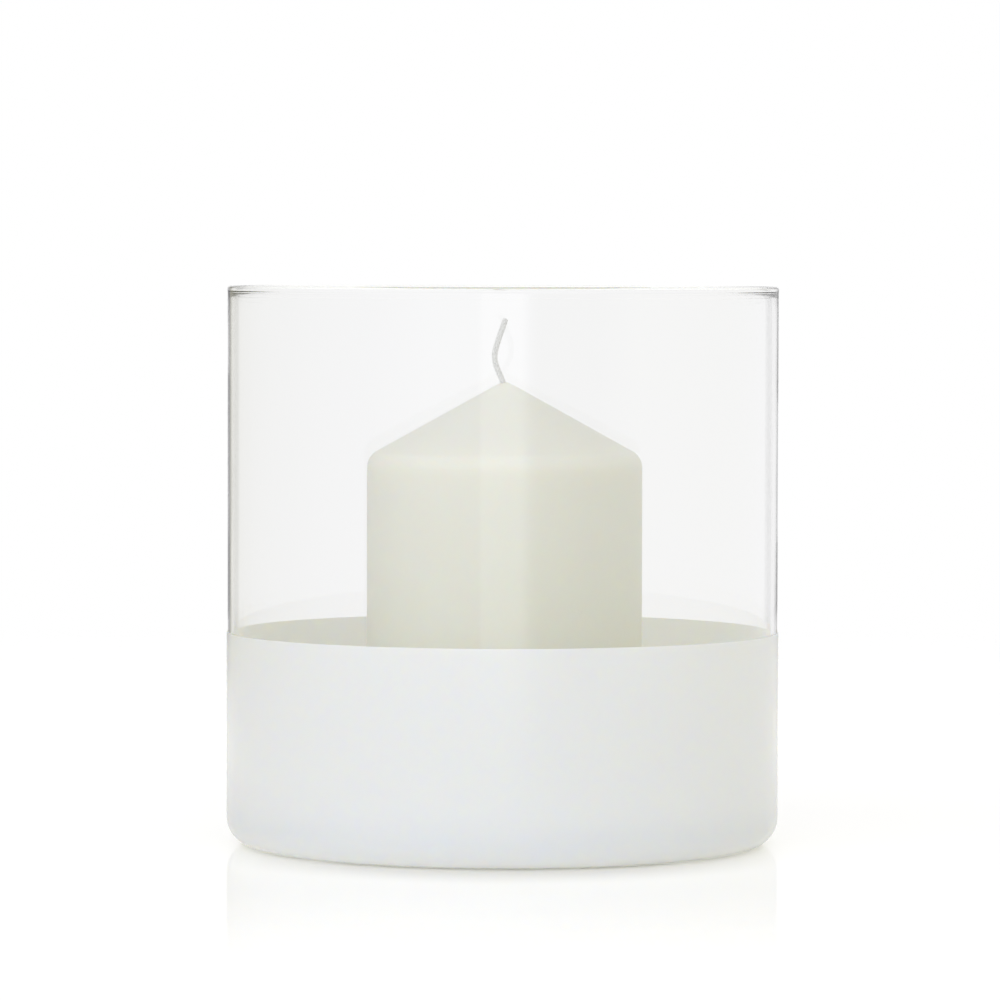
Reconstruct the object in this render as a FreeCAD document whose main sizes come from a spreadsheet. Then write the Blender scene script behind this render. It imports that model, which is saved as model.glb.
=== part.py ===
import FreeCAD, Part
import math
import os
import Sketcher

# Hurricane candle lantern: a straight glass vessel, lacquered white round its foot, with a pillar
# candle standing loose on the glass floor. Millimetres, +Z up, the origin at the centre of the foot,
# on the table. +X is to the right of someone who faces the lantern, and -Y is towards them.

# Driving sizes: alias, millimetres or degrees, what it measures
SIZES = (
    ("vessel_diameter", 150.0, "straight glass wall, outside"),
    ("vessel_height", 152.0, "table to the top of the rim"),
    ("wall_thickness", 1.5, "straight glass wall"),
    ("floor_thickness", 6.0, "table to the floor that the candle stands on"),
    ("heel_radius", 7.5, "outside curve from wall to foot"),
    ("inner_heel_radius", 6.0, "inside curve from wall to floor"),
    ("rim_bulge_outside", 0.45, "fire-polished rim bead, outwards past the wall"),
    ("rim_bulge_inside", 0.85, "fire-polished rim bead, inwards past the wall"),
    ("rim_blend_radius", 1.5, "hollow curve between wall and rim bead"),
    ("foot_ring_width", 7.0, "flat glass ring that stands on the table"),
    ("punt_depth", 1.5, "recess inside the foot ring"),
    ("punt_edge_radius", 0.8, "curve round the top of the recess"),
    ("lacquer_thickness", 0.2, "coat on the glass"),
    ("lacquer_height", 58.0, "table to the upper line of the coat"),
    ("lacquer_lift", 0.3, "table to the lower edge of the coat"),
    ("candle_diameter", 75.0, "straight side of the candle"),
    ("candle_side_height", 99.6, "candle base to where side and cone would meet"),
    ("cone_height", 19.9, "rise of the candle's conical top"),
    ("cone_top_margin", 0.75, "wax left round the wick at the top"),
    ("shoulder_radius", 5.0, "curve between the candle's side and cone"),
    ("candle_base_radius", 1.5, "curve round the candle's base"),
    ("candle_offset", 0.5, "candle axis to the right of the vessel axis, as it was set down"),
    ("wick_diameter", 1.7, "braided cotton wick"),
    ("wick_kink_radius", 3.0, "bend where the wick leaves the wax"),
    ("wick_kink_angle", 27.0, "lean to the left after that bend"),
    ("wick_lean_length", 2.0, "straight stretch of that lean"),
    ("wick_bow_radius", 12.5, "bow back to the right"),
    ("wick_tip_angle", 19.0, "lean to the right at the tip"),
    ("wick_tip_length", 5.2, "straight stretch up to the cut end"),
    ("tab_diameter", 20.0, "tinplate wick tab in the candle's base"),
    ("tab_sheet", 0.4, "thickness of the tab's sheet"),
    ("tab_neck_height", 6.0, "tab base to the top of its crimped neck"),
)

# Sizes that follow from the driving ones, as expressions on the sheet
VESSEL_RADIUS = "sizes.vessel_diameter / 2"
BORE_DIAMETER = "sizes.vessel_diameter - 2 * sizes.wall_thickness"
BEAD_DIAMETER = "(sizes.wall_thickness + sizes.rim_bulge_outside + sizes.rim_bulge_inside)"
BEAD_HEIGHT = f"sizes.vessel_height - {BEAD_DIAMETER} / 2"
RIM_SEAM = f"sizes.vessel_height - {BEAD_DIAMETER} - sizes.rim_blend_radius"
PUNT_DIAMETER = "sizes.vessel_diameter - 2 * (sizes.heel_radius + sizes.foot_ring_width)"
CANDLE_RADIUS = "sizes.candle_diameter / 2"
CONE_TOP_RADIUS = "sizes.wick_diameter / 2 + sizes.cone_top_margin"
CANDLE_HEIGHT = "sizes.candle_side_height + sizes.cone_height"
KINK_ANGLE = "sizes.wick_kink_angle * 1 deg"
BOW_ANGLE = "(sizes.wick_kink_angle + sizes.wick_tip_angle) * 1 deg"
NECK_DIAMETER = "sizes.wick_diameter + 2 * sizes.tab_sheet"

# A sketch's own numbers for the points of a line or an arc, and for its two axes
START, END, CENTRE = range(1, 4)
HORIZONTAL_AXIS, VERTICAL_AXIS = range(-1, -3, -1)
ORIGIN = (HORIZONTAL_AXIS, START)
SAME = 1e-4
UP = FreeCAD.Vector(0, 0, 1)

doc = FreeCAD.newDocument("hurricane_candle_lantern")
sheet = doc.addObject("Spreadsheet::Sheet", "sizes")
for row, (alias, value, meaning) in enumerate(SIZES, 1):
    sheet.set(f"A{row}", alias)
    sheet.set(f"B{row}", str(value))
    sheet.set(f"C{row}", meaning)
    sheet.setAlias(f"B{row}", alias)
doc.recompute()


def size(alias):
    return float(sheet.get(alias))


# Shared modelling steps


def make_body(label):
    body = doc.addObject("PartDesign::Body", label)
    body.Label = label
    return body


def make_sketch(body, name, role):
    """An empty sketch on one of the body's own origin planes."""
    plane = next(item for item in body.Origin.OriginFeatures if item.Role == role)
    sketch = body.newObject("Sketcher::SketchObject", name)
    sketch.AttachmentSupport = [(plane, "")]
    sketch.MapMode = "FlatFace"
    return sketch


def bind(sketch, name, expression, value, kind, *where):
    """Adds a dimension to a sketch, at the value it is drawn with, and ties it to the sheet."""
    index = sketch.addConstraint(Sketcher.Constraint(kind, *where, value))
    sketch.renameConstraint(index, name)
    sketch.setExpression("Constraints." + name, expression)


def ends(line):
    """Both ends of a sketch's line, in the order that a dimension takes them."""
    return line, START, line, END


def circle_sketch(body, name, diameter, height="0"):
    """A circle round the vertical axis, at a height above the body's own base."""
    sketch = make_sketch(body, name, "XY_Plane")
    start_radius = 1.0
    sketch.addGeometry(Part.Circle(FreeCAD.Vector(), UP, start_radius))
    sketch.addConstraint(Sketcher.Constraint("Coincident", 0, CENTRE, *ORIGIN))
    bind(sketch, "diameter", diameter, 2 * start_radius, "Diameter", 0)
    sketch.setExpression("AttachmentOffset.Base.z", height)
    return sketch


def pad(body, name, sketch, length):
    feature = body.newObject("PartDesign::Pad", name)
    feature.Profile = sketch
    feature.setExpression("Length", length)
    return feature


def pocket_upwards(body, name, sketch, length):
    """Cuts upwards from the sketch, and makes sure that something was cut."""
    doc.recompute()
    before = body.Shape.Volume
    feature = body.newObject("PartDesign::Pocket", name)
    feature.Profile = sketch
    feature.Reversed = True
    feature.setExpression("Length", length)
    doc.recompute()
    if not feature.Shape.Volume < before - SAME:
        raise RuntimeError(f"{name} cuts nothing")
    return feature


def revolve(body, name, sketch):
    feature = body.newObject("PartDesign::Revolution", name)
    feature.Profile = sketch
    feature.ReferenceAxis = (sketch, ["V_Axis"])
    feature.Angle = 360
    return feature


def round_rings(body, name, base, radius, is_wanted):
    """Fillets the circular edges of a feature that is_wanted(ring radius, ring height) picks."""
    doc.recompute()
    edges = []
    for number, edge in enumerate(base.Shape.Edges, 1):
        if isinstance(edge.Curve, Part.Circle):
            if is_wanted(edge.Curve.Radius, edge.Curve.Center.z):
                edges.append(f"Edge{number}")
    feature = body.newObject("PartDesign::Fillet", name)
    feature.Base = (base, edges)
    feature.setExpression("Radius", radius)
    return feature


def near(first, second):
    return abs(first - second) < SAME


def stand_candle_piece(body):
    """Puts a piece of the candle on the glass floor, where the candle was set down."""
    body.setExpression("Placement.Base.x", "sizes.candle_offset")
    body.setExpression("Placement.Base.z", "sizes.floor_thickness")


# Glass vessel: one blown piece with wall, floor, rounded heel, recessed foot and a beaded rim


def make_glass_vessel():
    body = make_body("glass_vessel")
    outer_radius = size("vessel_diameter") / 2
    inner_radius = outer_radius - size("wall_thickness")
    bead_radius = (size("wall_thickness") + size("rim_bulge_outside") + size("rim_bulge_inside")) / 2

    outline = circle_sketch(body, "wall_outline", "sizes.vessel_diameter")
    blank = pad(body, "glass_blank", outline, RIM_SEAM)
    round_rings(body, "heel", blank, "sizes.heel_radius", lambda ring, height: near(height, 0))

    bore = circle_sketch(body, "bore_outline", BORE_DIAMETER, "sizes.floor_thickness")
    hollow = pocket_upwards(body, "hollow", bore, "sizes.vessel_height")
    floor = size("floor_thickness")
    round_rings(
        body, "inner_heel", hollow, "sizes.inner_heel_radius",
        lambda ring, height: near(height, floor) and near(ring, inner_radius),
    )

    recess = circle_sketch(body, "punt_outline", PUNT_DIAMETER)
    punt = pocket_upwards(body, "punt", recess, "sizes.punt_depth")
    punt_depth = size("punt_depth")
    round_rings(
        body, "punt_edge", punt, "sizes.punt_edge_radius", lambda ring, height: near(height, punt_depth)
    )

    add_rim(body, outer_radius, inner_radius, bead_radius)
    return body


def add_rim(body, outer_radius, inner_radius, bead_radius):
    """The fire-polished rim: a round bead that runs into both faces of the wall by hollow curves."""
    blend = size("rim_blend_radius")
    bead_out = size("rim_bulge_outside")
    bead_in = size("rim_bulge_inside")
    seam = size("vessel_height") - 2 * bead_radius - blend
    bead_height = size("vessel_height") - bead_radius
    bead_centre = FreeCAD.Vector(outer_radius + bead_out - bead_radius, bead_height, 0)
    reach = bead_radius + blend
    drop_out = math.sqrt(reach**2 - (reach - bead_out) ** 2)
    drop_in = math.sqrt(reach**2 - (reach - bead_in) ** 2)
    out_centre = FreeCAD.Vector(outer_radius + blend, bead_height - drop_out, 0)
    in_centre = FreeCAD.Vector(inner_radius - blend, bead_height - drop_in, 0)
    out_turn = math.acos((reach - bead_out) / reach)
    in_turn = math.acos((reach - bead_in) / reach)
    out_circle = Part.Circle(out_centre, UP, blend)
    bead_circle = Part.Circle(bead_centre, UP, bead_radius)
    in_circle = Part.Circle(in_centre, UP, blend)
    out_arc = Part.ArcOfCircle(out_circle, math.pi - out_turn, math.pi)
    bead_arc = Part.ArcOfCircle(bead_circle, -out_turn, math.pi + in_turn)
    in_arc = Part.ArcOfCircle(in_circle, 0, in_turn)
    seam_out = FreeCAD.Vector(outer_radius, seam, 0)
    seam_in = FreeCAD.Vector(inner_radius, seam, 0)

    section = make_sketch(body, "rim_section", "XZ_Plane")
    seam_line = section.addGeometry(Part.LineSegment(seam_in, seam_out))
    outer_line = section.addGeometry(Part.LineSegment(seam_out, out_arc.EndPoint))
    outer_blend = section.addGeometry(out_arc)
    bead = section.addGeometry(bead_arc)
    inner_blend = section.addGeometry(in_arc)
    inner_line = section.addGeometry(Part.LineSegment(in_arc.StartPoint, seam_in))
    for rule in (
        ("Coincident", seam_line, END, outer_line, START),
        ("Tangent", outer_line, END, outer_blend, END),
        ("Tangent", outer_blend, START, bead, START),
        ("Tangent", bead, END, inner_blend, END),
        ("Tangent", inner_blend, START, inner_line, START),
        ("Coincident", inner_line, END, seam_line, START),
        ("Horizontal", seam_line),
        ("Vertical", outer_line),
        ("Vertical", inner_line),
        ("Equal", outer_blend, inner_blend),
    ):
        section.addConstraint(Sketcher.Constraint(*rule))
    across = f"{VESSEL_RADIUS} + sizes.rim_bulge_outside - {BEAD_DIAMETER} / 2"
    bind(section, "seam", RIM_SEAM, seam, "DistanceY", *ORIGIN, seam_line, END)
    bind(section, "wall_radius", VESSEL_RADIUS, outer_radius, "DistanceX", *ORIGIN, seam_line, END)
    wall = outer_radius - inner_radius
    bind(section, "wall", "sizes.wall_thickness", wall, "DistanceX", *ends(seam_line))
    bind(section, "bead_radius", f"{BEAD_DIAMETER} / 2", bead_radius, "Radius", bead)
    bind(section, "bead_across", across, bead_centre.x, "DistanceX", *ORIGIN, bead, CENTRE)
    bind(section, "bead_height", BEAD_HEIGHT, bead_height, "DistanceY", *ORIGIN, bead, CENTRE)
    bind(section, "blend_radius", "sizes.rim_blend_radius", blend, "Radius", outer_blend)
    revolve(body, "rim", section)


# White lacquer: a coat round the wall and heel, and a patch of the same coat in the foot's recess


def make_lacquer_sleeve():
    body = make_body("lacquer_sleeve")
    radius = size("vessel_diameter") / 2
    coat = size("lacquer_thickness")
    top = size("lacquer_height")
    lift = size("lacquer_lift")
    heel = size("heel_radius")
    centre = FreeCAD.Vector(radius - heel, heel, 0)
    outer_end = -math.asin((heel - lift) / (heel + coat))
    inner_end = -math.asin((heel - lift) / heel)
    outer_arc = Part.ArcOfCircle(Part.Circle(centre, UP, heel + coat), outer_end, 0)
    inner_arc = Part.ArcOfCircle(Part.Circle(centre, UP, heel), inner_end, 0)
    top_inside = FreeCAD.Vector(radius, top, 0)
    top_outside = FreeCAD.Vector(radius + coat, top, 0)

    section = make_sketch(body, "coat_section", "XZ_Plane")
    top_line = section.addGeometry(Part.LineSegment(top_inside, top_outside))
    outer_line = section.addGeometry(Part.LineSegment(top_outside, outer_arc.EndPoint))
    outer_heel = section.addGeometry(outer_arc)
    foot_line = section.addGeometry(Part.LineSegment(outer_arc.StartPoint, inner_arc.StartPoint))
    inner_heel = section.addGeometry(inner_arc)
    inner_line = section.addGeometry(Part.LineSegment(inner_arc.EndPoint, top_inside))

    for rule in (
        ("Coincident", top_line, END, outer_line, START),
        ("Tangent", outer_line, END, outer_heel, END),
        ("Coincident", outer_heel, START, foot_line, START),
        ("Coincident", foot_line, END, inner_heel, START),
        ("Tangent", inner_heel, END, inner_line, START),
        ("Coincident", inner_line, END, top_line, START),
        ("Coincident", outer_heel, CENTRE, inner_heel, CENTRE),
        ("Horizontal", top_line),
        ("Vertical", outer_line),
        ("Horizontal", foot_line),
        ("Vertical", inner_line),
    ):
        section.addConstraint(Sketcher.Constraint(*rule))
    corner = (top_line, START)
    bind(section, "glass_radius", VESSEL_RADIUS, radius, "DistanceX", *ORIGIN, *corner)
    bind(section, "top_height", "sizes.lacquer_height", top, "DistanceY", *ORIGIN, *corner)
    bind(section, "coat", "sizes.lacquer_thickness", coat, "DistanceX", *ends(top_line))
    bind(section, "heel_radius", "sizes.heel_radius", heel, "Radius", inner_heel)
    bind(section, "heel_height", "sizes.heel_radius", heel, "DistanceY", *ORIGIN, inner_heel, CENTRE)
    bind(section, "lift", "sizes.lacquer_lift", lift, "DistanceY", *ORIGIN, foot_line, START)
    revolve(body, "coat", section)
    return body


def make_lacquer_underside():
    body = make_body("lacquer_underside")
    patch_diameter = f"{PUNT_DIAMETER} - 2 * sizes.punt_edge_radius"
    patch_height = "sizes.punt_depth - sizes.lacquer_thickness"
    outline = circle_sketch(body, "patch_outline", patch_diameter, patch_height)
    pad(body, "patch", outline, "sizes.lacquer_thickness")
    return body


# Candle: moulded wax with a conical top, cast round its wick and the tab that anchors the wick


def make_candle_body():
    body = make_body("candle_body")
    radius = size("candle_diameter") / 2
    side = size("candle_side_height")
    cone = size("cone_height")
    top_radius = size("wick_diameter") / 2 + size("cone_top_margin")
    corners = [
        FreeCAD.Vector(0, 0, 0),
        FreeCAD.Vector(radius, 0, 0),
        FreeCAD.Vector(radius, side, 0),
        FreeCAD.Vector(top_radius, side + cone, 0),
        FreeCAD.Vector(0, side + cone, 0),
    ]
    section = make_sketch(body, "wax_section", "XZ_Plane")
    count = len(corners)
    for number, corner in enumerate(corners):
        section.addGeometry(Part.LineSegment(corner, corners[(number + 1) % count]))
    base_line, side_line, cone_line, top_line, axis_line = range(count)
    for line in range(count):
        section.addConstraint(Sketcher.Constraint("Coincident", line, END, (line + 1) % count, START))
    section.addConstraint(Sketcher.Constraint("Coincident", base_line, START, *ORIGIN))
    section.addConstraint(Sketcher.Constraint("Horizontal", base_line))
    section.addConstraint(Sketcher.Constraint("Vertical", side_line))
    section.addConstraint(Sketcher.Constraint("Horizontal", top_line))
    section.addConstraint(Sketcher.Constraint("Vertical", axis_line))
    bind(section, "radius", CANDLE_RADIUS, radius, "DistanceX", *ends(base_line))
    bind(section, "side", "sizes.candle_side_height", side, "DistanceY", *ends(side_line))
    bind(section, "cone", "sizes.cone_height", cone, "DistanceY", *ends(cone_line))
    bind(section, "top_radius", CONE_TOP_RADIUS, top_radius, "DistanceX", top_line, END, top_line, START)
    wax = revolve(body, "wax", section)

    shoulder = round_rings(
        body, "shoulder", wax, "sizes.shoulder_radius", lambda ring, level: near(level, side)
    )
    round_rings(
        body, "base_edge", shoulder, "sizes.candle_base_radius", lambda ring, level: near(level, 0)
    )
    wick_bore = circle_sketch(body, "wick_bore_outline", "sizes.wick_diameter")
    pocket_upwards(body, "wick_bore", wick_bore, CANDLE_HEIGHT)
    neck_bore = circle_sketch(body, "neck_bore_outline", NECK_DIAMETER)
    pocket_upwards(body, "neck_bore", neck_bore, "sizes.tab_neck_height")
    tab_seat = circle_sketch(body, "tab_seat_outline", "sizes.tab_diameter")
    pocket_upwards(body, "tab_seat", tab_seat, "sizes.tab_sheet")
    stand_candle_piece(body)
    return body


def make_wick():
    """Straight up through the wax, a kink to the left, a bow back to the right and a straight tip."""
    body = make_body("wick")
    foot = size("tab_sheet")
    wax_top = size("candle_side_height") + size("cone_height")
    kink_radius = size("wick_kink_radius")
    kink = math.radians(size("wick_kink_angle"))
    lean_length = size("wick_lean_length")
    bow_radius = size("wick_bow_radius")
    tip = math.radians(size("wick_tip_angle"))
    tip_length = size("wick_tip_length")

    kink_circle = Part.Circle(FreeCAD.Vector(-kink_radius, wax_top, 0), UP, kink_radius)
    kink_arc = Part.ArcOfCircle(kink_circle, 0, kink)
    lean_way = FreeCAD.Vector(-math.sin(kink), math.cos(kink), 0)
    lean_end = kink_arc.EndPoint + lean_way * lean_length
    bow_centre = lean_end + FreeCAD.Vector(math.cos(kink), math.sin(kink), 0) * bow_radius
    bow_circle = Part.Circle(bow_centre, UP, bow_radius)
    bow_arc = Part.ArcOfCircle(bow_circle, math.pi - tip, math.pi + kink)
    tip_way = FreeCAD.Vector(math.sin(tip), math.cos(tip), 0)
    tip_end = bow_arc.StartPoint + tip_way * tip_length

    path = make_sketch(body, "wick_path", "XZ_Plane")
    bottom = FreeCAD.Vector(0, foot, 0)
    cast_in = path.addGeometry(Part.LineSegment(bottom, FreeCAD.Vector(0, wax_top, 0)))
    kink_bend = path.addGeometry(kink_arc)
    lean = path.addGeometry(Part.LineSegment(kink_arc.EndPoint, lean_end))
    bow = path.addGeometry(bow_arc)
    tip_line = path.addGeometry(Part.LineSegment(bow_arc.StartPoint, tip_end))
    for rule in (
        ("Vertical", cast_in),
        ("PointOnObject", cast_in, START, VERTICAL_AXIS),
        ("Tangent", cast_in, END, kink_bend, START),
        ("Tangent", kink_bend, END, lean, START),
        ("Tangent", lean, END, bow, END),
        ("Tangent", bow, START, tip_line, START),
    ):
        path.addConstraint(Sketcher.Constraint(*rule))
    bind(path, "foot", "sizes.tab_sheet", foot, "DistanceY", *ORIGIN, cast_in, START)
    bind(path, "wax_top", CANDLE_HEIGHT, wax_top, "DistanceY", *ORIGIN, cast_in, END)
    bind(path, "kink_radius", "sizes.wick_kink_radius", kink_radius, "Radius", kink_bend)
    bind(path, "kink_angle", KINK_ANGLE, kink, "Angle", kink_bend)
    bind(path, "lean_length", "sizes.wick_lean_length", lean_length, "Distance", lean)
    bind(path, "bow_radius", "sizes.wick_bow_radius", bow_radius, "Radius", bow)
    bind(path, "bow_angle", BOW_ANGLE, kink + tip, "Angle", bow)
    bind(path, "tip_length", "sizes.wick_tip_length", tip_length, "Distance", tip_line)

    section = circle_sketch(body, "wick_section", "sizes.wick_diameter", "sizes.tab_sheet")
    doc.recompute()
    strand = body.newObject("PartDesign::AdditivePipe", "wick_strand")
    strand.Profile = section
    strand.Spine = (path, [f"Edge{number}" for number in range(1, path.GeometryCount + 1)])
    stand_candle_piece(body)
    return body


def make_wick_tab():
    body = make_body("wick_tab")
    disc = circle_sketch(body, "disc_outline", "sizes.tab_diameter")
    pad(body, "disc", disc, "sizes.tab_sheet")
    neck = circle_sketch(body, "neck_outline", NECK_DIAMETER)
    pad(body, "neck", neck, "sizes.tab_neck_height")
    hole = circle_sketch(body, "hole_outline", "sizes.wick_diameter")
    pocket_upwards(body, "wick_hole", hole, "sizes.tab_neck_height")
    stand_candle_piece(body)
    return body


pieces = [
    make_glass_vessel(),
    make_lacquer_sleeve(),
    make_lacquer_underside(),
    make_candle_body(),
    make_wick(),
    make_wick_tab(),
]
doc.recompute()

for item in doc.Objects:
    if "Invalid" in item.State or "Error" in item.State:
        raise RuntimeError(f"{item.Label} failed: {item.State}")
for piece in pieces:
    if piece.Shape.isNull() or not piece.Shape.isValid() or len(piece.Shape.Solids) != 1:
        raise RuntimeError(f"{piece.Label} is not one valid solid")

os.makedirs("parts", exist_ok=True)
for piece in pieces:
    piece.Shape.exportStep(f"parts/{piece.Label}.step")
    print(f"{piece.Label}: {piece.Shape.Volume:.1f} mm3")
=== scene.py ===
import math

import bpy
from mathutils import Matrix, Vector


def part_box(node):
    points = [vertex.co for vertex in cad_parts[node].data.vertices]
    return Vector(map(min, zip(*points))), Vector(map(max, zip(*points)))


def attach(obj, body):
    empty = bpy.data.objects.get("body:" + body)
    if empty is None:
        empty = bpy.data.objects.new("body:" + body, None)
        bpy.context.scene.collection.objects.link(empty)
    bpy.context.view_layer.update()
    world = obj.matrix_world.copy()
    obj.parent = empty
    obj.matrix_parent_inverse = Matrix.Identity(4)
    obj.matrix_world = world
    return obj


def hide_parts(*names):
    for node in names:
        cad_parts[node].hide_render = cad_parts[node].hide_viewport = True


# Hurricane candle lantern, dressed: blown glass, white lacquer, a moulded wax pillar, a braided wick
# and its tin tab, on a pale floor in soft light. Metres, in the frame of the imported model: +Z up, the
# origin at the centre of the foot, -Y towards the camera.

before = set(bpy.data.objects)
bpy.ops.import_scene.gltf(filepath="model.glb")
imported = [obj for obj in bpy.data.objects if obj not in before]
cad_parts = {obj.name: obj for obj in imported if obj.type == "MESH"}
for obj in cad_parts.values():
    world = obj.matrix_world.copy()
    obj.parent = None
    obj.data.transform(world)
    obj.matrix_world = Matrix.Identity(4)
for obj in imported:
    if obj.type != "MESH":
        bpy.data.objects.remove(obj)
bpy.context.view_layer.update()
scene = bpy.context.scene

MM = 0.001
SAME_POINT = 0.002 * MM
MERGE_WITHIN = 0.001 * MM
SHARP_ANGLE = math.radians(38)

# How finely the turned pieces are made: steps along a straight wall, and columns round each piece
WALL_STEPS = 28
VESSEL_COLUMNS = 288
PATCH_COLUMNS = 144
WAX_COLUMNS = 256
TAB_COLUMNS = 96

# Glass: sizes that the node boxes don't give
WALL = 1.5 * MM
HEEL = 7.5 * MM
INNER_HEEL = 6.0 * MM
BEAD_OUT = 0.1 * MM
BEAD_IN = 0.45 * MM
BEAD_BLEND = 4.0 * MM
FOOT_RING = 7.0 * MM
PUNT_EDGE = 0.8 * MM

# Lacquer: its edge is rounded, and a hair of air lies between it and the glass, so that light passes
COAT = 0.2 * MM
COAT_EDGE = 0.09 * MM
COAT_AIR = 0.02 * MM

# Wax
CONE_RISE = 19.9 * MM
CONE_TOP = 1.6 * MM
SHOULDER = 5.0 * MM
WAX_BASE_EDGE = 1.5 * MM
WICK_SEAL = 15.0 * MM

# The collar of wax drawn up round the wick, as (radius, rise over the cone's top), and its foot on the cone
COLLAR = (
    (0.0, 0.35 * MM),
    (0.3 * MM, 0.35 * MM),
    (0.85 * MM, 0.245 * MM),
    (1.1 * MM, 0.1225 * MM),
    (1.4 * MM, 0.0),
    (1.8 * MM, -0.2 * MM),
)
COLLAR_FOOT = 2.5 * MM

# Wick: the points that its line bends between, as (across, up) from the candle's base, and its braid
WICK_RADIUS = 0.85 * MM
WICK_BENDS = (
    (0.0, 0.4 * MM),
    (0.0, 50.0 * MM),
    (0.0, 100.0 * MM),
    (0.0, 117.8 * MM),
    (-0.3 * MM, 119.5 * MM),
    (-2.85 * MM, 125.2 * MM),
    (-2.8 * MM, 128.9 * MM),
    (0.15 * MM, 136.9 * MM),
)
STRAND_RADIUS = 0.30 * MM
WEAVE_DEPTH = 0.10 * MM
BRAID_PITCH = 4.4 * MM
FIBRE_LENGTH = 0.35 * MM
FIBRE_ROOT = 0.04 * MM
FIBRE_TIP = 0.012 * MM
FIBRE_LEAN = (0.5, 0.5, 3.1)
STRAND_SIDES = 7
CORE_SIDES = 10

# Tin tab
TAB_SHEET = 0.4 * MM
TAB_RING = 6.5 * MM
TAB_RING_WIDTH = 0.9 * MM
TAB_RING_DEPTH = 0.12 * MM

# Camera: where the photograph was taken from, with a long lens
CAMERA_PLACE = (-0.9 * MM, -1565.7 * MM, 157.2 * MM)
CAMERA_PITCH = 2.322
CAMERA_ROLL = -0.13
CAMERA_LENS = 206.9
CAMERA_SENSOR = 36.0


# Node trees


class Socket:
    """An output socket, so that maths on it reads as Python and adds Math nodes."""

    def __init__(self, nodes, socket):
        self.nodes = nodes
        self.socket = socket

    def also(self, name):
        """Another output of the same node."""
        return Socket(self.nodes, self.socket.node.outputs[name])

    def __add__(self, other):
        return self.nodes.math("ADD", self, other)

    def __sub__(self, other):
        return self.nodes.math("SUBTRACT", self, other)

    def __rsub__(self, other):
        return self.nodes.math("SUBTRACT", other, self)

    def __mul__(self, other):
        return self.nodes.math("MULTIPLY", self, other)

    def __truediv__(self, other):
        return self.nodes.math("DIVIDE", self, other)

    def __rtruediv__(self, other):
        return self.nodes.math("DIVIDE", other, self)

    def __mod__(self, other):
        return self.nodes.math("FLOORED_MODULO", self, other)

    __radd__ = __add__
    __rmul__ = __mul__


class Nodes:
    """One node tree, which node() adds any kind of node to."""

    def __init__(self, tree):
        self.tree = tree
        tree.nodes.clear()

    def node(self, kind, settings=None, sockets=None, out=0):
        """Adds a node, sets it up, then fills its sockets. A ramp's stops are places and colours."""
        made = self.tree.nodes.new(kind)
        for name, value in (settings or {}).items():
            if name == "stops":
                self.set_stops(made.color_ramp, value)
            else:
                setattr(made, name, value)
        for name, value in (sockets or {}).items():
            self.fill(made.inputs[name], value)
        return Socket(self, made.outputs[out]) if made.outputs else made

    def fill(self, socket, value):
        if isinstance(value, Socket):
            self.tree.links.new(value.socket, socket)
        else:
            socket.default_value = value

    @staticmethod
    def set_stops(ramp, stops):
        while len(ramp.elements) < len(stops):
            ramp.elements.new(1.0)
        for element, (place, colour) in zip(ramp.elements, stops):
            element.position = place
            element.color = colour

    def math(self, operation, *values):
        return self.node("ShaderNodeMath", {"operation": operation}, dict(enumerate(values)))

    def vector(self, operation, *values, out="Vector"):
        return self.node("ShaderNodeVectorMath", {"operation": operation}, dict(enumerate(values)), out)

    def smooth(self, value, low, high):
        """0 below low, 1 above high and a smooth step between."""
        settings = {"interpolation_type": "SMOOTHSTEP"}
        return self.node("ShaderNodeMapRange", settings, {0: value, 1: low, 2: high})

    def mix(self, factor, first, second):
        """A colour between two."""
        settings = {"data_type": "RGBA"}
        return self.node("ShaderNodeMix", settings, {0: factor, 6: first, 7: second}, out=2)

    def noise(self, place, size, detail=2.0, roughness=0.5):
        """Soft noise from 0 to 1 whose spots are about size metres across."""
        settings = {"noise_dimensions": "3D"}
        sockets = {"Vector": place, "Scale": 1 / size, "Detail": detail, "Roughness": roughness}
        return self.node("ShaderNodeTexNoise", settings, sockets)

    def bump(self, height, depth):
        """A normal whose relief is depth metres for a height from 0 to 1."""
        return self.node("ShaderNodeBump", None, {"Strength": 1.0, "Distance": depth, "Height": height})


def grey(value, alpha=1.0):
    return (value, value, value, alpha)


# Materials


def new_material(name):
    """A material, its nodes, and a place on the surface in metres."""
    material = bpy.data.materials.new(name)
    material.use_nodes = True
    nodes = Nodes(material.node_tree)
    place = nodes.node("ShaderNodeTexCoord", out="Object")
    return material, nodes, place


def finish_material(nodes, **sockets):
    """Ends a material in a Principled shader with these sockets, whose names have _ for a space."""
    named = {name.replace("_", " "): value for name, value in sockets.items()}
    shader = nodes.node("ShaderNodeBsdfPrincipled", None, named)
    nodes.node("ShaderNodeOutputMaterial", None, {"Surface": shader})


def clear_glass():
    """Blown glass, with the faint waves of its making and the lightest haze of handling."""
    material, nodes, place = new_material("clear_glass")
    waves = nodes.noise(place, size=38 * MM, detail=1.0)
    smears = nodes.noise(place, size=24 * MM, detail=4.0)
    haze = nodes.smooth(smears, low=0.55, high=0.8)
    finish_material(
        nodes,
        Base_Color=(0.995, 0.998, 0.997, 1.0),
        Roughness=0.004 + 0.012 * haze,
        IOR=1.5,
        Transmission_Weight=1.0,
        Normal=nodes.bump(waves, depth=0.05 * MM),
    )
    return material


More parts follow.
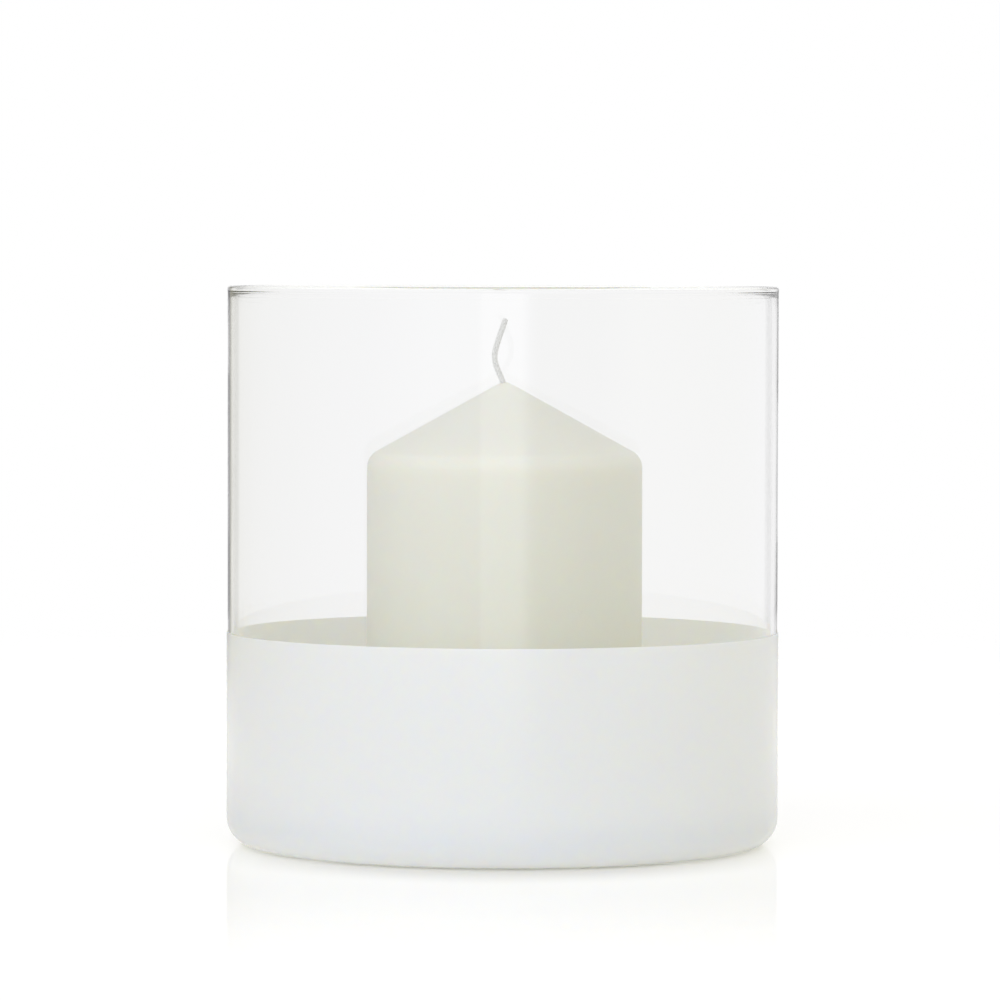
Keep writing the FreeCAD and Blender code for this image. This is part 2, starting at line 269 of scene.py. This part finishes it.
def white_lacquer():
    """Sprayed gloss lacquer, with orange peel and a slightly uneven build."""
    material, nodes, place = new_material("white_lacquer")
    build = nodes.noise(place, size=30 * MM, detail=3.0)
    peel = nodes.noise(place, size=1.6 * MM, detail=2.0)
    finish_material(
        nodes,
        Base_Color=nodes.mix(build, (0.98, 0.977, 0.925, 1.0), (0.99, 0.987, 0.935, 1.0)),
        Roughness=0.18 + 0.06 * build,
        IOR=1.5,
        Subsurface_Weight=1.0,
        Subsurface_Radius=(0.58 * MM, 0.47 * MM, 0.30 * MM),
        Subsurface_Scale=1.0,
        Normal=nodes.bump(peel, depth=0.004 * MM),
    )
    return material


def ivory_wax():
    """Moulded wax: cloudy from crystals within, with a satin skin that is a little uneven."""
    material, nodes, place = new_material("ivory_wax")
    cloud = nodes.noise(place, size=14 * MM, detail=4.0, roughness=0.6)
    crystals = nodes.noise(place, size=1.1 * MM, detail=3.0, roughness=0.6)
    skin = nodes.noise(place, size=6 * MM, detail=2.0)
    mottled = nodes.mix(cloud, (0.82, 0.822, 0.762, 1.0), (0.85, 0.852, 0.792, 1.0))
    pale = (0.875, 0.875, 0.825, 1.0)
    grains = nodes.smooth(crystals, low=0.55, high=0.75)
    finish_material(
        nodes,
        Base_Color=nodes.mix(grains * 0.4, mottled, pale),
        Roughness=0.48 + 0.1 * cloud,
        IOR=1.42,
        Subsurface_Weight=1.0,
        Subsurface_Radius=(8 * MM, 6.5 * MM, 4.5 * MM),
        Subsurface_Scale=1.0,
        Normal=nodes.bump(skin * 0.7 + crystals * 0.3, depth=0.03 * MM),
    )
    return material


def cotton_wick():
    """Bleached cotton yarn, primed with a little wax: fine fibres along the strands."""
    material, nodes, place = new_material("cotton_wick")
    fibres = nodes.noise(place, size=0.09 * MM, detail=2.0)
    primed = nodes.noise(place, size=1.5 * MM, detail=2.0)
    yarn = nodes.mix(fibres, (0.68, 0.68, 0.685, 1.0), (0.84, 0.84, 0.845, 1.0))
    waxed = nodes.smooth(primed, low=0.5, high=0.8)
    finish_material(
        nodes,
        Base_Color=nodes.mix(waxed * 0.5, yarn, (0.78, 0.78, 0.765, 1.0)),
        Roughness=0.85 - 0.25 * primed,
        Sheen_Weight=0.2,
        Normal=nodes.bump(fibres, depth=0.03 * MM),
    )
    return material


def tinplate():
    """Tinned sheet with the fine rings of its stamping and dull patches where wax clings."""
    material, nodes, place = new_material("tinplate")
    x = nodes.node("ShaderNodeSeparateXYZ", None, {0: place})
    flat = nodes.node("ShaderNodeCombineXYZ", None, {0: x, 1: x.also("Y")})
    radius = nodes.vector("LENGTH", flat, out="Value")
    outwards = nodes.node("ShaderNodeCombineXYZ", None, {0: radius})
    rings = nodes.noise(outwards, size=0.12 * MM, detail=3.0)
    waxed = nodes.smooth(nodes.noise(place, size=4 * MM, detail=3.0), low=0.45, high=0.7)
    finish_material(
        nodes,
        Base_Color=nodes.mix(waxed, (0.70, 0.71, 0.72, 1.0), (0.60, 0.60, 0.58, 1.0)),
        Roughness=0.24 + 0.08 * rings + 0.25 * waxed,
        Metallic=1.0 - 0.4 * waxed,
        Normal=nodes.bump(rings, depth=0.004 * MM),
    )
    return material


# Outlines of turned pieces: points of (radius, height), down the outside and up the inside


def line(start, end, steps=1):
    """A straight stretch, without its start."""
    shares = [step / steps for step in range(1, steps + 1)]
    return [tuple(a + (b - a) * share for a, b in zip(start, end)) for share in shares]


def arc(centre, radius, start, end, steps):
    """A round stretch from one angle to another, in degrees, with both its ends."""
    turns = [math.radians(start + (end - start) * step / steps) for step in range(steps + 1)]
    return [(centre[0] + radius * math.cos(turn), centre[1] + radius * math.sin(turn)) for turn in turns]


def reach(points, end, steps=1):
    """The points with a straight stretch to end added."""
    return points + line(points[-1], end, steps)


def bend(points, centre, radius, start, end, steps):
    """The points with an arc added, by way of a straight stretch where it starts elsewhere."""
    turn = arc(centre, radius, start, end, steps)
    near = math.dist(points[-1], turn[0]) < SAME_POINT
    return points + turn[1:] if near else points + turn


glass_low, glass_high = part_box("glass_vessel")
coat_low, coat_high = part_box("lacquer_sleeve")
patch_low, patch_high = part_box("lacquer_underside")
wax_low, wax_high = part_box("candle_body")
tab_low, tab_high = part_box("wick_tab")

glass_radius = coat_high.x - COAT
bore_radius = glass_radius - WALL
glass_floor = wax_low.z
candle_place = Vector(((wax_low.x + wax_high.x) / 2, (wax_low.y + wax_high.y) / 2, wax_low.z))


def glass_outline():
    """From the middle of the floor, up the inside, over the rim bead, down the outside and under."""
    bead = (WALL + BEAD_OUT + BEAD_IN) / 2
    bead_centre = (glass_radius + BEAD_OUT - bead, glass_high.z - bead)
    away = bead + BEAD_BLEND
    turn_in = math.acos((away - BEAD_IN) / away)
    turn_out = math.acos((away - BEAD_OUT) / away)
    blend_in = (bore_radius - BEAD_BLEND, bead_centre[1] - away * math.sin(turn_in))
    blend_out = (glass_radius + BEAD_BLEND, bead_centre[1] - away * math.sin(turn_out))
    turn_in, turn_out = math.degrees(turn_in), math.degrees(turn_out)
    heel_inside = (bore_radius - INNER_HEEL, glass_floor + INNER_HEEL)
    heel_outside = (glass_radius - HEEL, glass_low.z + HEEL)
    punt_radius = glass_radius - HEEL - FOOT_RING
    punt_top = patch_high.z

    points = [(0.0, glass_floor)]
    points = reach(points, (heel_inside[0], glass_floor), steps=10)
    points = bend(points, heel_inside, INNER_HEEL, -90, 0, steps=18)
    points = reach(points, (bore_radius, blend_in[1]), steps=WALL_STEPS)
    points = bend(points, blend_in, BEAD_BLEND, 0, turn_in, steps=6)
    points = bend(points, bead_centre, bead, 180 + turn_in, -turn_out, steps=48)
    points = bend(points, blend_out, BEAD_BLEND, 180 - turn_out, 180, steps=8)
    points = reach(points, (glass_radius, heel_outside[1]), steps=WALL_STEPS)
    points = bend(points, heel_outside, HEEL, 0, -90, steps=20)
    points = reach(points, (punt_radius, glass_low.z), steps=3)
    points = reach(points, (punt_radius, punt_top - PUNT_EDGE), steps=2)
    points = bend(points, (punt_radius - PUNT_EDGE, punt_top - PUNT_EDGE), PUNT_EDGE, 0, 90, steps=6)
    return reach(points, (0.0, punt_top), steps=10)


def coat_outline():
    """Round the wall and heel, from the crisp upper line to just above the table, and back inside."""
    heel_centre = (glass_radius - HEEL, glass_low.z + HEEL)
    drop = heel_centre[1] - coat_low.z
    outside, inside = HEEL + COAT, HEEL + COAT_AIR
    top = coat_high.z
    corner = (glass_radius + COAT - COAT_EDGE, top - COAT_EDGE)

    points = [(glass_radius + COAT_AIR, top)]
    points = bend(points, corner, COAT_EDGE, 90, 0, steps=5)
    points = reach(points, (glass_radius + COAT, heel_centre[1]), steps=WALL_STEPS)
    points = bend(points, heel_centre, outside, 0, -math.degrees(math.asin(drop / outside)), steps=20)
    points = bend(points, heel_centre, inside, -math.degrees(math.asin(drop / inside)), 0, steps=20)
    return reach(points, (glass_radius + COAT_AIR, top), steps=WALL_STEPS)[:-1]


def patch_outline():
    """The lacquer in the foot's recess."""
    points = [(0.0, patch_high.z - COAT_AIR)]
    points = reach(points, (patch_high.x, patch_high.z - COAT_AIR), steps=8)
    points = reach(points, (patch_high.x, patch_low.z + COAT_EDGE))
    points = bend(points, (patch_high.x - COAT_EDGE, patch_low.z + COAT_EDGE), COAT_EDGE, 0, -90, steps=4)
    return reach(points, (0.0, patch_low.z), steps=8)


def wax_outline():
    """From the collar round the wick, down the cone, shoulder and side, under the base and up the wick's
    bore, to where the wax closes tight on the wick."""
    radius = (wax_high.x - wax_low.x) / 2
    height = wax_high.z - wax_low.z
    slope = math.atan2(CONE_RISE, radius - CONE_TOP)
    tilt = 90 - math.degrees(slope)
    corner = height - CONE_RISE
    shoulder = (radius - SHOULDER, corner - SHOULDER * math.tan(math.pi / 4 - slope / 2))
    tab_radius = (tab_high.x - tab_low.x) / 2
    neck_radius = WICK_RADIUS + TAB_SHEET
    neck_top = tab_high.z - tab_low.z
    bore = WICK_RADIUS
    collar_foot = (COLLAR_FOOT, height - (COLLAR_FOOT - CONE_TOP) * math.tan(slope))

    points = [(across, height + rise) for across, rise in COLLAR] + [collar_foot]
    points = bend(points, shoulder, SHOULDER, tilt, 0, steps=12)
    points = reach(points, (radius, WAX_BASE_EDGE), steps=WALL_STEPS)
    points = bend(points, (radius - WAX_BASE_EDGE, WAX_BASE_EDGE), WAX_BASE_EDGE, 0, -90, steps=8)
    points = reach(points, (tab_radius, 0.0), steps=6)
    points = reach(points, (tab_radius, TAB_SHEET))
    points = reach(points, (neck_radius, TAB_SHEET), steps=3)
    points = reach(points, (neck_radius, neck_top), steps=3)
    points = reach(points, (bore, neck_top))
    points = reach(points, (bore, height - WICK_SEAL), steps=12)
    return reach(points, (0.0, height - WICK_SEAL))


def tab_outline():
    """A disc with a stamped ring under it and a neck round the wick."""
    radius = (tab_high.x - tab_low.x) / 2
    neck_radius = WICK_RADIUS + TAB_SHEET
    neck_top = tab_high.z - tab_low.z
    edge = TAB_SHEET / 2

    points = [(neck_radius, TAB_SHEET)]
    points = reach(points, (radius - edge, TAB_SHEET), steps=6)
    points = bend(points, (radius - edge, edge), edge, 90, -90, steps=8)
    points = reach(points, (TAB_RING + TAB_RING_WIDTH, 0.0), steps=2)
    points = points + [(TAB_RING + TAB_RING_WIDTH / 2, TAB_RING_DEPTH), (TAB_RING, TAB_RING_DEPTH)]
    points = points + [(TAB_RING - TAB_RING_WIDTH / 2, 0.0)]
    points = reach(points, (WICK_RADIUS, 0.0), steps=4)
    points = reach(points, (WICK_RADIUS, neck_top), steps=6)
    points = reach(points, (neck_radius, neck_top))
    return reach(points, (neck_radius, TAB_SHEET), steps=6)[:-1]


# Geometry Nodes


def new_tree(name, inputs):
    """A tree with a geometry in and out and other named inputs, as its nodes and its input sockets."""
    tree = bpy.data.node_groups.new(name, "GeometryNodeTree")
    tree.interface.new_socket("Geometry", in_out="OUTPUT", socket_type="NodeSocketGeometry")
    tree.interface.new_socket("Geometry", in_out="INPUT", socket_type="NodeSocketGeometry")
    for label, kind in inputs.items():
        tree.interface.new_socket(label, in_out="INPUT", socket_type=kind)
    nodes = Nodes(tree)
    source = nodes.node("NodeGroupInput", out="Geometry")
    return nodes, {label: source.also(label) for label in ("Geometry", *inputs)}


def end_tree(nodes, geometry, material):
    """Ends a tree with its instances made real and its material set."""
    real = nodes.node("GeometryNodeRealizeInstances", None, {0: geometry})
    shaded = nodes.node("GeometryNodeSetShadeSmooth", None, {"Geometry": real})
    dressed = nodes.node("GeometryNodeSetMaterial", None, {"Geometry": shaded, "Material": material})
    nodes.node("NodeGroupOutput", None, {0: dressed})
    return nodes.tree


def turning_tree():
    """Turns an outline round an upright axis: each point of the outline becomes a ring."""
    kinds = {
        "Around": "NodeSocketInt",
        "Closed": "NodeSocketBool",
        "Axis Place": "NodeSocketVector",
        "Material": "NodeSocketMaterial",
    }
    nodes, given = new_tree("turned_piece", kinds)
    outline, around = given["Geometry"], given["Around"]
    count = nodes.node("GeometryNodeAttributeDomainSize", None, {0: outline}, out="Point Count")
    column_count = around + 1
    row_count = count + given["Closed"]
    sockets = {"Size X": 1.0, "Size Y": 1.0, "Vertices X": row_count, "Vertices Y": column_count}
    sheet = nodes.node("GeometryNodeMeshGrid", None, sockets)
    index = nodes.node("GeometryNodeInputIndex")
    column = index % column_count
    row = nodes.math("ROUND", (index - column) / column_count)
    settings = {"data_type": "FLOAT_VECTOR", "domain": "POINT"}
    position = nodes.node("GeometryNodeInputPosition")
    sockets = {"Geometry": outline, "Value": position, "Index": row % count}
    point = nodes.node("GeometryNodeSampleIndex", settings, sockets)
    turn = {"Vector": point, "Angle": column * (2 * math.pi) / around}
    turned = nodes.node("ShaderNodeVectorRotate", {"rotation_type": "Z_AXIS"}, turn)
    placed = nodes.vector("ADD", turned, given["Axis Place"])
    rings = nodes.node("GeometryNodeSetPosition", None, {"Geometry": sheet, "Position": placed})
    sockets = {"Geometry": rings, "Distance": MERGE_WITHIN}
    closed = nodes.node("GeometryNodeMergeByDistance", None, sockets)
    return end_tree(nodes, closed, given["Material"])


def braiding_tree():
    """Braids strands along a path, half of them each way round, over a core, and frays the tip."""
    kinds = {
        "Strands Each Way": "NodeSocketInt",
        "Strand Radius": "NodeSocketFloat",
        "Braid Radius": "NodeSocketFloat",
        "Weave Depth": "NodeSocketFloat",
        "Turns": "NodeSocketFloat",
        "Steps": "NodeSocketInt",
        "Fibres": "NodeSocketInt",
        "Fibre Length": "NodeSocketFloat",
        "Seed": "NodeSocketInt",
        "Material": "NodeSocketMaterial",
    }
    nodes, given = new_tree("braided_wick", kinds)
    path = nodes.node("GeometryNodeMeshToCurve", None, {0: given["Geometry"]})
    path = nodes.node("GeometryNodeResampleCurve", None, {"Curve": path, "Count": given["Steps"]})
    ways = given["Strands Each Way"]
    copies = {"Geometry": path, "Amount": ways * 2}
    strands = nodes.node("GeometryNodeDuplicateElements", {"domain": "SPLINE"}, copies)
    number = strands.also("Duplicate Index")
    way = 1 - 2 * (number % 2)
    first = nodes.math("FLOOR", number / 2) * (2 * math.pi) / ways
    along = nodes.node("GeometryNodeSplineParameter", out="Factor")
    turn = along * given["Turns"] * (2 * math.pi)
    angle = turn * way + first
    radius = given["Braid Radius"] + way * given["Weave Depth"] * nodes.math("COSINE", turn * ways)
    tangent = nodes.node("GeometryNodeInputTangent")
    normal = nodes.node("GeometryNodeInputNormal")
    side = nodes.vector("CROSS_PRODUCT", tangent, normal)
    across_scale = radius * nodes.math("COSINE", angle)
    side_scale = radius * nodes.math("SINE", angle)
    offset = nodes.vector(
        "ADD",
        nodes.node("ShaderNodeVectorMath", {"operation": "SCALE"}, {0: normal, "Scale": across_scale}),
        nodes.node("ShaderNodeVectorMath", {"operation": "SCALE"}, {0: side, "Scale": side_scale}),
    )
    wound = nodes.node("GeometryNodeSetPosition", None, {"Geometry": strands, "Offset": offset})
    yarn = round_cord(nodes, wound, given["Strand Radius"], STRAND_SIDES)
    core = round_cord(nodes, path, given["Braid Radius"], CORE_SIDES)
    joined = nodes.node("GeometryNodeJoinGeometry")
    for part in (yarn, core, frayed_end(nodes, path, given)):
        nodes.tree.links.new(part.socket, joined.socket.node.inputs[0])
    return end_tree(nodes, joined, given["Material"])


def round_cord(nodes, path, radius, sides):
    """A round cord along each path, closed at both ends."""
    sockets = {"Resolution": sides, "Radius": radius}
    ring = nodes.node("GeometryNodeCurvePrimitiveCircle", None, sockets)
    sockets = {"Curve": path, "Profile Curve": ring, "Fill Caps": True}
    return nodes.node("GeometryNodeCurveToMesh", None, sockets)


def frayed_end(nodes, path, given):
    """Short fibres that stand out of the cut end of a path, each at its own slant."""
    settings = {"mode": "FACTOR", "use_all_curves": True}
    sockets = {"Curves": path, "Factor": 1.0}
    end = nodes.node("GeometryNodeSampleCurve", settings, sockets, out="Position")
    points = nodes.node("GeometryNodePoints", None, {"Count": given["Fibres"], "Position": end})
    sockets = {
        "Vertices": 5,
        "Radius Top": FIBRE_TIP,
        "Radius Bottom": FIBRE_ROOT,
        "Depth": given["Fibre Length"],
    }
    fibre = nodes.node("GeometryNodeMeshCone", None, sockets)
    aim = nodes.node("FunctionNodeAlignRotationToVector", {"axis": "Z"}, {"Vector": end.also("Tangent")})
    least = tuple(-turn for turn in FIBRE_LEAN)
    sockets = {0: least, 1: FIBRE_LEAN, "Seed": given["Seed"]}
    lean = nodes.node("FunctionNodeRandomValue", {"data_type": "FLOAT_VECTOR"}, sockets)
    slant = nodes.node("FunctionNodeRotateRotation", {"rotation_space": "LOCAL"}, {0: aim, 1: lean})
    sockets = {"Points": points, "Instance": fibre, "Rotation": slant}
    return nodes.node("GeometryNodeInstanceOnPoints", None, sockets)


def chain_mesh(name, points):
    """A mesh of points joined in a row."""
    mesh = bpy.data.meshes.new(name)
    mesh.from_pydata(points, [(number, number + 1) for number in range(len(points) - 1)], [])
    return mesh


def grow(name, points, tree, **values):
    """Runs a tree on a row of points and keeps what it makes as a plain mesh. Names have _ for a space."""
    piece = bpy.data.objects.new(name, chain_mesh(name, points))
    scene.collection.objects.link(piece)
    modifier = piece.modifiers.new(tree.name, "NODES")
    modifier.node_group = tree
    items = tree.interface.items_tree
    identifiers = {item.name: item.identifier for item in items if item.in_out == "INPUT"}
    for label, value in values.items():
        modifier[identifiers[label.replace("_", " ")]] = value
    made = piece.evaluated_get(bpy.context.evaluated_depsgraph_get())
    mesh = bpy.data.meshes.new_from_object(made)
    piece.modifiers.remove(modifier)
    piece.data = mesh
    return piece


turned_piece = turning_tree()


def turn(name, outline, material, around, closed=False, axis=Vector()):
    """A turned piece from its outline, with its true corners kept sharp."""
    points = [(radius, 0.0, height) for radius, height in outline]
    values = {"Around": around, "Closed": closed, "Axis_Place": axis, "Material": material}
    piece = grow(name, points, turned_piece, **values)
    piece.data.set_sharp_from_angle(angle=SHARP_ANGLE)
    return piece


# Pieces


def wick_line():
    """Points on the smooth line of the wick: up through the wax, a lean to the left and a bow back."""
    curve = bpy.data.curves.new("wick_line", "CURVE")
    curve.dimensions = "3D"
    curve.resolution_u = 24
    spline = curve.splines.new("NURBS")
    spline.points.add(len(WICK_BENDS) - 1)
    for point, (across, up) in zip(spline.points, WICK_BENDS):
        point.co = (*(candle_place + Vector((across, 0.0, up))), 1.0)
    spline.order_u = 3
    spline.use_endpoint_u = True
    holder = bpy.data.objects.new("wick_line", curve)
    chain = bpy.data.meshes.new_from_object(holder)
    points = [vertex.co.copy() for vertex in chain.vertices]
    bpy.data.objects.remove(holder)
    return points


def braid_wick(material):
    path = wick_line()
    length = sum((after - before).length for before, after in zip(path, path[1:]))
    braid_radius = WICK_RADIUS - WEAVE_DEPTH - STRAND_RADIUS
    return grow(
        "wick_braid",
        path,
        braiding_tree(),
        Strands_Each_Way=4,
        Strand_Radius=STRAND_RADIUS,
        Braid_Radius=braid_radius,
        Weave_Depth=WEAVE_DEPTH,
        Turns=length / BRAID_PITCH,
        Steps=760,
        Fibres=36,
        Fibre_Length=FIBRE_LENGTH,
        Seed=7,
        Material=material,
    )


def dress(piece, node, body):
    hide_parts(node)
    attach(piece, body)


glass, lacquer, wax = clear_glass(), white_lacquer(), ivory_wax()
glass_piece = turn("vessel_glass", glass_outline(), glass, VESSEL_COLUMNS)
coat_piece = turn("vessel_lacquer", coat_outline(), lacquer, VESSEL_COLUMNS, closed=True)
patch_piece = turn("foot_lacquer", patch_outline(), lacquer, PATCH_COLUMNS)
wax_piece = turn("candle_wax", wax_outline(), wax, WAX_COLUMNS, axis=candle_place)
tab_piece = turn("wick_tab_tin", tab_outline(), tinplate(), TAB_COLUMNS, closed=True, axis=candle_place)
wick_piece = braid_wick(cotton_wick())

dress(glass_piece, "glass_vessel", "vessel")
dress(coat_piece, "lacquer_sleeve", "vessel")
dress(patch_piece, "lacquer_underside", "vessel")
dress(wax_piece, "candle_body", "candle")
dress(wick_piece, "wick", "candle")
dress(tab_piece, "wick_tab", "candle")


# Floor, light and camera


def sight_lines(nodes):
    """Three masks for what the camera sees: itself, by way of gloss and through glass. All are 0 for
    light on the object."""
    camera = nodes.node("ShaderNodeLightPath", out="Is Camera Ray")
    unscattered = 1 - nodes.math("MINIMUM", camera.also("Diffuse Depth"), 1.0)
    gloss = camera.also("Is Glossy Ray") * unscattered
    through = camera.also("Is Transmission Ray") * unscattered
    return camera, gloss, through


# The floor. Its gloss and then the floor itself fade out, between these distances from the middle in metres
FLOOR_HALF = 1.0
FLOOR_DROP = 0.02 * MM
FLOOR_GREY = 0.86
FLOOR_GLOSS = 0.32
FLOOR_ROUGHNESS = 0.035
GLOSS_FACING = (0.3, 1.0)
GLOSS_FADE = (0.12, 0.33)
FLOOR_FADE = (0.35, 0.95)

# The floor is lifted to white by a glow. Where the camera sees the floor directly, the glow is left out in
# a pool before the foot, chosen by place on the floor. This is a painted soft shadow laid over the floor's
# own real shade there.
FLOOR_LIFT = 0.345
PAINTED_SHADOW_MIDDLE = (0.0, -30 * MM, 0.0)
PAINTED_SHADOW_CORE = 40 * MM
PAINTED_SHADOW_REACH = 80 * MM


def pale_floor():
    """A pale floor with a soft gloss near the object and a painted soft shadow before the foot, which runs
    out into the white all round.
    """
    material, nodes, place = new_material("pale_floor")
    away = nodes.vector("LENGTH", place, out="Value")
    matt = nodes.node("ShaderNodeBsdfDiffuse", None, {"Color": grey(FLOOR_GREY)})
    camera, gloss, through = sight_lines(nodes)
    # Painted shadow: round this point before the foot the glow is left out, so there the floor shows only
    # its own lit and shaded grey
    from_painted_shadow = nodes.vector("DISTANCE", place, PAINTED_SHADOW_MIDDLE, out="Value")
    clear_of_painted_shadow = nodes.smooth(from_painted_shadow, PAINTED_SHADOW_CORE, PAINTED_SHADOW_REACH)
    seen = nodes.math("MAXIMUM", camera * clear_of_painted_shadow, nodes.math("MAXIMUM", gloss, through))
    lifted = nodes.mix(seen, grey(0.0), grey(FLOOR_LIFT))
    lift = nodes.node("ShaderNodeEmission", None, {"Color": lifted, "Strength": 1.0})
    lit = nodes.node("ShaderNodeAddShader", None, {0: matt, 1: lift})
    sockets = {"Color": grey(1.0), "Roughness": FLOOR_ROUGHNESS}
    mirror = nodes.node("ShaderNodeBsdfGlossy", None, sockets)
    facing = nodes.node("ShaderNodeLayerWeight", None, {"Blend": 0.5}, out="Facing")
    near = 1 - nodes.smooth(away, *GLOSS_FADE)
    share = nodes.smooth(facing, *GLOSS_FACING) * FLOOR_GLOSS * near
    polished = nodes.node("ShaderNodeMixShader", None, {0: share, 1: lit, 2: mirror})
    clear = nodes.node("ShaderNodeBsdfTransparent")
    edge = nodes.smooth(away, *FLOOR_FADE)
    faded = nodes.node("ShaderNodeMixShader", None, {0: edge, 1: polished, 2: clear})
    nodes.node("ShaderNodeOutputMaterial", None, {0: faded})
    return material


def lay_floor():
    mesh = bpy.data.meshes.new("floor")
    corners = [(-1, -1), (1, -1), (1, 1), (-1, 1)]
    points = [(x * FLOOR_HALF, y * FLOOR_HALF, -FLOOR_DROP) for x, y in corners]
    mesh.from_pydata(points, [], [(0, 1, 2, 3)])
    mesh.materials.append(pale_floor())
    floor = bpy.data.objects.new("floor", mesh)
    scene.collection.objects.link(floor)


# The studio all round, as (degrees, level, tint): 0 is at the camera, and plus is to its right
NEUTRAL = (1.0, 0.995, 1.0)
COOL = (0.99, 1.0, 1.0)
WARM = (1.0, 0.982, 0.81)
EYE_LEVEL = (
    (-180, 0.95, NEUTRAL),
    (-169.5, 0.95, NEUTRAL),
    (-168.5, 0.35, NEUTRAL),
    (-161.5, 0.35, NEUTRAL),
    (-160.5, 0.62, WARM),
    (-97, 0.56, WARM),
    (-57, 0.84, NEUTRAL),
    (-30, 1.33, COOL),
    (-10, 1.36, COOL),
    (-8.5, 2.10, COOL),
    (7.5, 2.10, COOL),
    (11, 1.00, COOL),
    (15, 0.62, WARM),
    (38, 0.62, WARM),
    (57, 0.95, WARM),
    (97, 0.85, WARM),
    (135, 0.94, NEUTRAL),
    (165, 0.85, NEUTRAL),
    (166, 0.42, NEUTRAL),
    (169, 0.42, NEUTRAL),
    (170, 0.95, NEUTRAL),
    (180, 0.95, NEUTRAL),
)
TENT = (
    (-180, 0.95, NEUTRAL),
    (-170, 0.95, NEUTRAL),
    (-167, 0.42, WARM),
    (-135, 0.27, WARM),
    (-97, 0.45, WARM),
    (-57, 1.24, NEUTRAL),
    (-27, 1.46, COOL),
    (0, 1.34, COOL),
    (27, 0.91, NEUTRAL),
    (57, 0.50, WARM),
    (97, 0.63, WARM),
    (135, 0.77, WARM),
    (167, 0.60, NEUTRAL),
    (170, 0.95, NEUTRAL),
    (180, 0.95, NEUTRAL),
)
OVERHEAD = 0.84
BACKDROP = (
    (-180, 0.93, NEUTRAL),
    (-169.5, 0.93, NEUTRAL),
    (-168.5, 0.35, NEUTRAL),
    (-161.5, 0.35, NEUTRAL),
    (-160.5, 0.93, NEUTRAL),
    (165, 0.93, NEUTRAL),
    (166, 0.42, NEUTRAL),
    (169, 0.42, NEUTRAL),
    (170, 0.93, NEUTRAL),
    (180, 0.93, NEUTRAL),
)
RAMP_TOP = 2.0

# Heights of the studio's bands, as the upward part of a direction: where each starts and is full
EYE_LEVEL_STARTS = (-0.18, -0.1)
EYE_LEVEL_ENDS = (0.04, 0.12)
OVERHEAD_STARTS = (0.45, 0.75)
FLAGS_START = (-0.3, -0.2)
FLAGS_END = (0.2, 0.35)


def around(nodes, turn, stops):
    """The colour of the studio in a direction, between the stops of a ring of colours."""
    places = []
    for degrees, level, tint in stops:
        places.append(((degrees + 180) / 360, (*(level / RAMP_TOP * share for share in tint), 1.0)))
    share = turn / (2 * math.pi) + 0.5
    return nodes.node("ShaderNodeValToRGB", {"stops": places}, {"Fac": share})


def studio_world():
    """White for the camera, and through glass an even backdrop with two dim flags. For light and
    reflections, a pale tent: white behind the object, with the same flags, bright from the camera to
    the left, with a window behind the camera and a gap beside it."""
    world = bpy.data.worlds.new("studio")
    world.use_nodes = True
    scene.world = world
    nodes = Nodes(world.node_tree)
    way = nodes.node("ShaderNodeTexCoord", out="Generated")
    across = nodes.node("ShaderNodeSeparateXYZ", None, {0: way})
    height = across.also("Z")
    turn = nodes.math("ARCTAN2", across, -1 * across.also("Y"))
    ring = nodes.smooth(height, *EYE_LEVEL_STARTS) * (1 - nodes.smooth(height, *EYE_LEVEL_ENDS))
    sides = nodes.mix(ring, around(nodes, turn, TENT), around(nodes, turn, EYE_LEVEL))
    above = nodes.smooth(height, *OVERHEAD_STARTS)
    tent = nodes.mix(above, sides, grey(OVERHEAD / RAMP_TOP))
    flags = nodes.smooth(height, *FLAGS_START) * (1 - nodes.smooth(height, *FLAGS_END))
    pale = grey(BACKDROP[0][1] / RAMP_TOP)
    backdrop = nodes.mix(flags, pale, around(nodes, turn, BACKDROP))
    camera, _, through = sight_lines(nodes)
    colour = nodes.mix(through, tent, backdrop)
    light = nodes.node("ShaderNodeBackground", None, {"Color": colour, "Strength": RAMP_TOP})
    white = nodes.node("ShaderNodeBackground", None, {"Color": grey(1.0), "Strength": 1.0})
    both = nodes.node("ShaderNodeMixShader", None, {0: camera, 1: light, 2: white})
    nodes.node("ShaderNodeOutputWorld", None, {"Surface": both})


def set_camera():
    data = bpy.data.cameras.new("camera")
    data.lens = CAMERA_LENS
    data.sensor_width = CAMERA_SENSOR
    data.clip_start = 0.1
    data.clip_end = 50.0
    camera = bpy.data.objects.new("camera", data)
    camera.location = CAMERA_PLACE
    camera.rotation_euler = (math.radians(90 - CAMERA_PITCH), math.radians(CAMERA_ROLL), 0.0)
    scene.collection.objects.link(camera)
    scene.camera = camera


def set_light_paths():
    """White walls and wax pass light to and fro many times, and clear glass stays clear for it."""
    scene.cycles.max_bounces = 48
    scene.cycles.diffuse_bounces = 16
    scene.cycles.glossy_bounces = 16
    scene.cycles.transmission_bounces = 48
    scene.cycles.blur_glossy = 0.0


lay_floor()
studio_world()
set_light_paths()
set_camera()
scene.view_settings.view_transform = "Standard"
